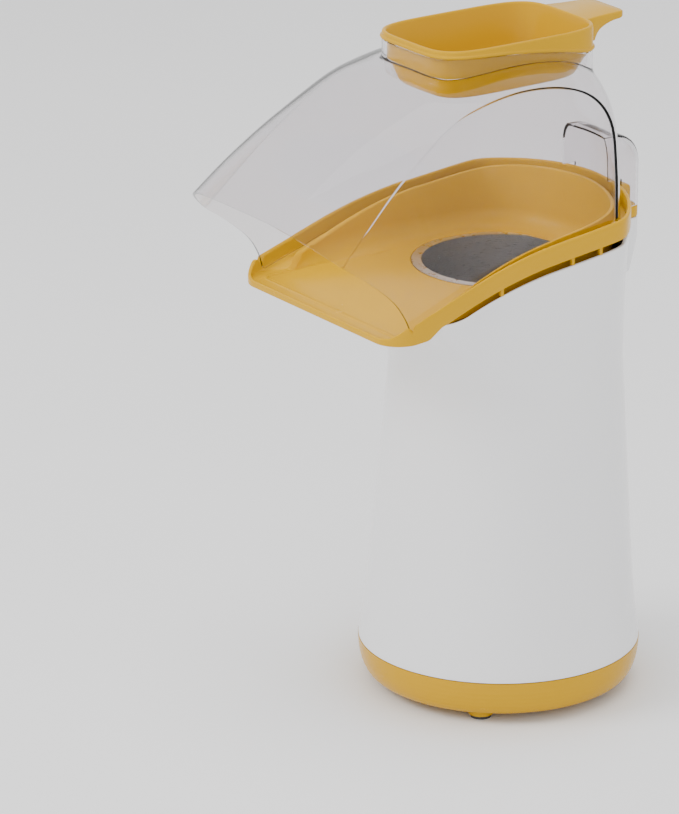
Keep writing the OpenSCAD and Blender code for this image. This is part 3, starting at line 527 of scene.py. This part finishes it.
def tray_column(a):
    """Closed section of the tray in direction a: band, channel, inner wall, floor, underside."""
    c, s = math.cos(a), math.sin(a)

    def at(d, z):
        r = reach(a, d, LIP_Y, CRISP if d < 5 else ROUNDED)
        return (r * c, r * s, z)

    rim, low, channel, inner, trough = tray_heights(reach(a, 0, LIP_Y) * s)
    e = min(0.9, (rim - channel) * 0.5)
    f = min(0.8, max(0.05, (inner - channel) * 0.5))
    band = [(2.2, low + 0.1), (0.5, low), (0.12, low + 0.15), (0, low + 0.6),
            (0, lerp(low, rim, 0.35)), (0, lerp(low, rim, 0.7)), (0, rim - e),
            (0.15, rim - 0.4 * e), (0.5, rim - 0.07 * e), (1.0, rim), (1.5, rim - 0.07 * e),
            (1.85, rim - 0.4 * e), (2.0, rim - e), (2.05, channel + 0.6 * e),
            (2.4, channel + 0.1), (3.0, channel), (7.3, channel)]
    d = WALL_INSET
    wall = [(d - 0.25, channel + 0.15 * f), (d, channel + 0.7 * f), (d, inner - f),
            (d + 0.15, inner - 0.35 * f), (d + 0.6, inner), (d + 1.4, inner),
            (d + 1.85, inner - 0.35 * f), (d + 2.05, inner - f)]
    bend = min(11.0, 0.85 * (inner - trough))
    wall += [(d + 2.1 + bend * (1 - math.cos(t)), trough + bend * (1 - math.sin(t)))
             for t in [math.radians(15 * k) for k in range(7)]]
    points = [at(inset, z) for inset, z in band + wall]

    edge_x, edge_y, _ = points[-1]
    mouth_r = SEAT_R + 0.3
    for t in (k / 8 for k in range(1, 9)):
        x, y = lerp(edge_x, mouth_r * c, t), lerp(edge_y, mouth_r * s, t)
        points.append((x, y, floor_at(y)))
    for r, z in ((SEAT_R + 0.05, FLOOR_Z - 0.2), (SEAT_R, FLOOR_Z - 1.2),
                 (HOLE_R, FLOOR_Z - 1.2), (HOLE_R, FLOOR_Z - FLOOR_T)):
        points.append((r * c, r * s, z))
    for t in (0.25, 0.5, 0.75, 1):
        r = lerp(HOLE_R + 0.6, reach(a, d + 1.5, LIP_Y, ROUNDED), t)
        points.append((r * c, r * s, floor_at(r * s) - FLOOR_T))
    slab = points[-1][2]
    under = max(channel - CHANNEL_T, low + 0.3)
    points += [at(inset, z) for inset, z in (
        (d + 0.5, slab + 0.2), (d, slab + 0.7), (d - 0.1, max(under - 0.5, slab + 0.8)),
        (d - 0.5, max(under, slab + 0.9)), (2.7, under), (2.25, under - 0.2))]
    return points


def make_tray():
    columns = [tray_column(a) for a in tray_angles()]
    faces = grid_faces(len(columns), len(columns[0]), True, True)
    tray = raw_mesh("chute_tray_shell", [p for col in columns for p in col], faces)
    outward(tray)
    lug = column("lug", [
        (0.5, REAR_Y - 0.5, LUG_Z), (0.1, REAR_Y - 0.1, LUG_Z + 0.3),
        (0, REAR_Y, LUG_Z + 0.8), (0, REAR_Y, LUG_Z + LUG_H - 0.8),
        (0.1, REAR_Y - 0.1, LUG_Z + LUG_H - 0.3), (0.5, REAR_Y - 0.5, LUG_Z + LUG_H),
    ], 61.4)
    tongue = column("tongue", [
        (5, REAR_Y - 4, LUG_Z + 1), (5, REAR_Y - 4, LUG_Z + 15),
        (5.3, REAR_Y - 4.5, LUG_Z + 16.2), (6.2, REAR_Y - 6, LUG_Z + 17),
    ], 59)
    ribs = []
    for y in RIB_DEPTHS:
        for side in (-1, 1):
            x = side * (TRAY_HALF_W - SIDE_TAPER * y - RIB_INSET)
            z = rim_z(y) - BAND_H
            ribs.append(block("rib", x, y, z - SLOT_H / 2, 1.1, 1.0, SLOT_H / 2 + 0.4))
    join(tray, lug, tongue, *ribs)
    finish_piece(tray, MATERIALS["yellow_plastic"], "appliance", "yellow_plastic", "chute_tray",
                 degrees=38)


def block(name, x, y, z, half_x, half_y, half_z):
    """Small block with softened upright edges."""
    soft = 0.3
    corners = ((-1, -1, 0, soft), (-1, -1, soft, 0), (1, -1, soft, 0), (1, -1, 0, soft),
               (1, 1, 0, soft), (1, 1, soft, 0), (-1, 1, soft, 0), (-1, 1, 0, soft))
    return loft(name, [
        [(x + sx * (half_x - ex), y + sy * (half_y - ey), z + dz) for sx, sy, ex, ey in corners]
        for dz in (-half_z, half_z)
    ])


# --------------------------------------------------------------------- hood

# Arches from back to front: depth and height of the feet, rise of the crown, and its fullness
HOOD_RIBS = [
    (26, 200, 29.8, 2.12), (26, 236, 29.8, 2.12), (26.3, 262, 29.5, 2.12),
    (27.6, 289, 27.4, 2.05), (26, 312, 24, 2.1), (15.5, 327, 20, 2.1),
    (-3.5, 335, 13, 2.3), (-30, 337, 9.5, 2.5), (-57.5, 332.5, 10, 2.8),
    (-77.5, 324, 14.5, 3.1), (-105, 303.5, 22, 3.5), (-125.5, 285, 27.5, 3.8),
    (-145, 266, 31.5, 3.8), (-166, 244, 35, 3.8), (-190, 215, 37, 3.8),
]
# Side view of the mouth's edge as depth and height
MOUTH_EDGE = [(-101, 214), (-104.5, 227.5), (-108.3, 237), (-115.2, 246.5), (-128.3, 257.5),
              (-143, 267.8), (-168, 288.5)]


def side_w(z):
    """Half width of the hood at height z."""
    return lerp(HOOD_LOW_W, HOOD_TOP_W, (z - 230) / 107)


def hood_form(name, inset):
    """Closed solid under the hood's arches, with softened creases beside the side panels."""
    across, crease = 56, HOOD_CREASE
    ribs = spline(HOOD_RIBS, 8)
    rows = []
    for i, (y, z, crown, power) in enumerate(ribs):
        d = ribs[min(i + 1, len(ribs) - 1)][:2] - ribs[max(i - 1, 0)][:2]
        d /= np.hypot(*d)
        out = np.array([d[1], -d[0]])
        w = side_w(z) - inset
        slope = crown * power
        trim = crease / math.hypot(w, slope)
        s_end = 1 - trim

        def at(s):
            rise = crown * (1 - abs(s) ** power) - inset
            return np.array([s * w, y + out[0] * rise, z + out[1] * rise])

        band = [at(-s_end + 2 * s_end * k / across) for k in range(across + 1)]
        low = []
        for side in (-1, 1):
            corner = at(side)
            yz = corner[1:] - out * crease
            foot = np.array([side * (side_w(yz[1]) - inset), yz[0], yz[1]])
            start = at(side * s_end)
            arc = [(1 - t) ** 2 * foot + 2 * t * (1 - t) * corner + t * t * start
                   for t in (0, 0.2, 0.4, 0.6, 0.8)]
            low.append(arc)
        rows.append(low[0] + band + low[1][::-1])
    n = len(rows[0])
    m = len(rows)
    faces = []
    for i in range(m):
        for j in range(n - 1):
            a, c = i * n + j, (i + 1) % m * n + j
            faces.append((a, a + 1, c + 1, c))
    faces.append(tuple(i * n for i in range(m)))
    faces.append(tuple(i * n + n - 1 for i in range(m - 1, -1, -1)))
    obj = raw_mesh(name, [p for row in rows for p in row], faces)
    outward(obj)
    return obj


def prism(name, outline, half_w):
    """Side view outline of (depth, height) points, extruded both ways along X."""
    n = len(outline)
    verts = [(side * half_w, y, z) for side in (-1, 1) for y, z in outline]
    faces = [(j, (j + 1) % n, n + (j + 1) % n, n + j) for j in range(n)]
    faces += [tuple(range(n - 1, -1, -1)), tuple(range(n, 2 * n))]
    obj = raw_mesh(name, verts, faces)
    outward(obj)
    return obj


def hood_keep():
    """Side view of the hood, as a solid that trims its foot and mouth."""
    depths = [100 - 4 * k for k in range(51)]
    foot_z = rim_z(HOOD_FOOT_Y) - HOOD_DROP
    low = [(y, rim_z(y) - HOOD_DROP) for y in depths if y > -101] + [(HOOD_FOOT_Y, foot_z)]
    edge = [(y, z) for y, z in spline(MOUTH_EDGE, 12)
            if z > foot_z + 0.2 and y > 0.4 - VISOR_Y]
    return prism("keep", low + edge + [(-VISOR_Y, 288.1), (-VISOR_Y, 400), (100, 400)], 90)


def collar_wall(form):
    """Collar that holds the cup, blended into the top of the hood by a fillet."""
    tree = BVHTree.FromObject(form, bpy.context.evaluated_depsgraph_get())
    count, radius = 160, 1.5

    def top_of(x, y):
        hit = tree.ray_cast(Vector((x * MM, y * MM + AXIS_Y, 0.5)), Vector((0, 0, -1)))
        return hit[0].z / MM if hit[0] else 300.0

    walls = oval(1.8, count)
    outer = oval(1.8 + radius, count)
    inner = oval(-0.6, count)
    rings = [[] for _ in range(13)]
    for (wx, wy), (ox, oy), (ix, iy) in zip(walls, outer, inner):
        z_wall, z_out = top_of(wx, wy), top_of(ox, oy)
        top = flange_low(wy) - 0.3
        lift = min(radius, 0.8 * (top - z_wall))
        start, mid, end = (np.array(p) for p in (
            (wx, wy, z_wall + lift), (wx, wy, z_wall), (ox, oy, z_out - 0.02)))
        ring = [(ix, iy, z_wall - 6), (ox, oy, z_out - 6)]
        for t in (1, 0.85, 0.7, 0.55, 0.4, 0.25, 0.12, 0):
            ring.append(tuple((1 - t) ** 2 * start + 2 * t * (1 - t) * mid + t * t * end))
        ring += [(wx, wy, top - 0.25), (lerp(wx, ix, 0.12), lerp(wy, iy, 0.12), top),
                 (ix, iy, top)]
        for k, p in enumerate(ring):
            rings[k].append(p)
    return loft("collar", rings, loop_rows=True)


def make_hood():
    shell = hood_form("hood_shell", 0)
    collar = collar_wall(shell)
    combine(shell, hood_keep(), "INTERSECT")
    combine(shell, collar, "UNION")
    low = LUG_Z + LUG_H + 0.3
    top = 290.0
    crown = [(0, 15.5), (0.5, 12), (1.4, 9), (2.8, 6.4), (4.6, 4.3), (6.8, 2.6), (9, 1.4),
             (11.5, 0.6), (14, 0.1), (16, 0)]

    def tab(name, inset, z_low, z_top):
        """Column whose back and sides lean in to a rounded top."""
        levels = [(inset, REAR_Y - inset, z_low)]
        levels += [(inset + min(back * 0.28, 3.5), REAR_Y - inset - back, z_top - down)
                   for back, down in crown]
        return column(name, levels, 45)

    outer_tab = tab("tab", 0, low, top)
    band_room = raw_room("band_room", 61.2, rim_z(60) + 0.6)
    combine(outer_tab, band_room, "DIFFERENCE")
    inner_tab = tab("tab_room", HOOD_T, low - 10, top - HOOD_T)
    combine(outer_tab, inner_tab, "DIFFERENCE")
    combine(shell, outer_tab, "UNION")
    combine(shell, hood_form("hood_room", HOOD_T), "DIFFERENCE")
    mouth = [[(x, y, z) for x, y in oval(-0.2, 160)] for z in (300, 380)]
    combine(shell, loft("cup_room", mouth), "DIFFERENCE")
    weld(shell, 0.00002)
    finish_piece(shell, MATERIALS["clear_plastic"], "hood", "clear_plastic", "hood", degrees=35)
    weighted = shell.modifiers.new("even_normals", "WEIGHTED_NORMAL")
    weighted.keep_sharp = True
    # Light reaches the tray through the clear wall
    shell.visible_shadow = False


def raw_room(name, back, top):
    """Plain block that clears the tray's band out of the hood's rear tab."""
    rings = [[(-40, 30, z), (40, 30, z), (40, back, z), (-40, back, z)] for z in (200, top)]
    return loft(name, rings)


def weld(obj, distance):
    """Merges points closer than distance, in metres."""
    bm = bmesh.new()
    bm.from_mesh(obj.data)
    bmesh.ops.remove_doubles(bm, verts=bm.verts, dist=distance)
    bmesh.ops.dissolve_degenerate(bm, edges=bm.edges, dist=distance)
    bm.to_mesh(obj.data)
    bm.free()


# ---------------------------------------------------------------------- cup

def make_cup():
    b, rim = CUP_RIM_Z - CUP_DEPTH, CUP_RIM_Z
    # Offsets from the mouth's outline and heights: the outside, the sloping flange
    # as heights above its underside, the rim, then the inside down to the bottom
    outside = [
        (-13, b - 1.75), (-9, b - 1.65), (-7.2, b - 1.2), (-5.9, b - 0.2), (-4.9, b + 1.6),
        (-3.6, b + 5), (-2.2, b + 8.5), (-1.0, rim - 15.6), (-0.5, rim - 14.4),
    ]
    flange = [
        (-0.5, -0.05), (2.0, 0), (2.45, 0.2), (2.65, 0.7), (2.5, 1.3), (2.1, 1.6),
        (1.9, 1.75), (1.8, 2.0),
    ]
    inside = [
        (1.8, rim - 1.1), (1.68, rim - 0.5), (1.35, rim - 0.12), (0.95, rim), (0.5, rim - 0.08),
        (0.1, rim - 0.45), (-0.1, rim - 1.2), (-0.9, rim - 4), (-1.9, rim - 8), (-3.3, b + 13),
        (-4.5, b + 8), (-5.2, b + 4.8), (-6.3, b + 2.3), (-8.0, b + 0.8), (-10.5, b + 0.1),
        (-14, b),
    ]

    def level(offset, height, on_flange=False):
        return [(x, y, flange_low(y) + height if on_flange else height)
                for x, y in oval(offset, 144)]

    rings = [level(*row) for row in outside]
    rings += [level(*row, on_flange=True) for row in flange]
    rings += [level(*row) for row in inside]
    bowl = loft("measuring_cup_shell", rings)
    join(bowl, cup_handle())
    finish_piece(bowl, MATERIALS["yellow_plastic"], "cup", "yellow_plastic", "measuring_cup",
                 degrees=38)


def cup_handle():
    """Thumb rest that leaves the flange and thins towards its rounded end."""
    root = CUP_Y + CUP_HALF_L
    end = root + HANDLE_L + 2
    low = flange_low(root) + 0.1
    top = CUP_RIM_Z - 0.15
    hollow = HANDLE_L - 8.4
    rings = []
    depths = [root + 0.8 + (end - root - 4.8) * k / 24 for k in range(25)]
    depths += [end - 4 * math.cos(math.radians(15 * k)) for k in range(1, 7)]
    for y in depths:
        t = (y - root) / (end - root)
        half = float(np.interp(t, [0, 0.36, 0.86, 1], [18.4, 16.4, 15, 14.8]))
        past = clamp01((y - end + 4) / 4)
        half -= 4 * (1 - math.sqrt(max(0, 1 - past * past)))
        under = clamp01((end - 3.3 - y) / hollow)
        bottom = low + (CUP_RIM_Z - 4.1 - low) * math.sqrt(1 - under * under)
        bottom = min(bottom + 0.5 * past, top - 1.6)
        crown = top - 0.35 * past
        corner = min(0.8, (crown - bottom) * 0.4)
        ring = []
        side, high, deep = half - corner, crown - corner, bottom + corner
        for cx, cz, start in ((side, high, 0), (-side, high, 90), (-side, deep, 180),
                              (side, deep, 270)):
            for k in range(4):
                a = math.radians(start + 30 * k)
                ring.append((cx + corner * math.cos(a), y, cz + corner * math.sin(a)))
        rings.append(ring)
    return loft("handle", rings)


make_housing()
make_tray()
make_hood()
make_cup()


# ----------------------------------------------------- stage, light, camera

def make_floor():
    bpy.ops.mesh.primitive_plane_add(size=8, location=(0, 0, 0))
    floor = bpy.context.object
    floor.name = "floor"
    m = Shader("pale_floor")
    tint = m.ramp(m.noise(3, 2, 0.5),
                  [(0.3, (0.86, 0.86, 0.865, 1)), (0.7, (0.88, 0.88, 0.885, 1))])
    m.link(tint, "Color", m.bsdf, "Base Color")
    m.set(Roughness=0.6)
    floor.data.materials.append(m.material)


def area_light(name, place, size, power):
    """Soft light aimed at the middle of the object, unseen in reflections."""
    data = bpy.data.lights.new(name, "AREA")
    data.shape = "RECTANGLE"
    data.size, data.size_y = size
    data.energy = power
    obj = bpy.data.objects.new(name, data)
    bpy.context.scene.collection.objects.link(obj)
    obj.location = place
    aim = Vector((0, 0, 0.2)) - Vector(place)
    obj.rotation_euler = aim.to_track_quat("-Z", "Y").to_euler()
    obj.visible_glossy = False


def make_light():
    world = bpy.data.worlds.new("studio")
    bpy.context.scene.world = world
    world.use_nodes = True
    sky = world.node_tree.nodes["Background"]
    sky.inputs["Color"].default_value = (1, 1, 1, 1)
    sky.inputs["Strength"].default_value = 1.15
    area_light("key", (-0.6, -1.6, 1.5), (1.0, 1.0), 26)
    area_light("fill", (1.9, -0.9, 0.9), (0.9, 1.4), 10)
    area_light("top", (0.2, 0.1, 1.9), (1.2, 1.2), 14)


def make_camera():
    """Long lens from the front right, a little above the object."""
    turn, rise, distance = 0.930994, 0.333166, 2.68086
    yaw, pitch = turn + 0.033046, 0.340652
    target = Vector((0, AXIS_Y, 0.170))
    place = target + distance * Vector((math.sin(turn) * math.cos(rise),
                                        -math.cos(turn) * math.cos(rise), math.sin(rise)))
    back = Vector((math.sin(yaw) * math.cos(pitch), -math.cos(yaw) * math.cos(pitch),
                   math.sin(pitch)))
    right = Vector((math.cos(yaw), math.sin(yaw), 0))
    data = bpy.data.cameras.new("camera")
    data.lens = 228.8
    data.sensor_width = 36
    data.clip_end = 50
    camera = bpy.data.objects.new("camera", data)
    bpy.context.scene.collection.objects.link(camera)
    matrix = Matrix((right, back.cross(right), back)).transposed().to_4x4()
    matrix.translation = place
    camera.matrix_world = matrix
    bpy.context.scene.camera = camera


make_floor()
make_light()
make_camera()
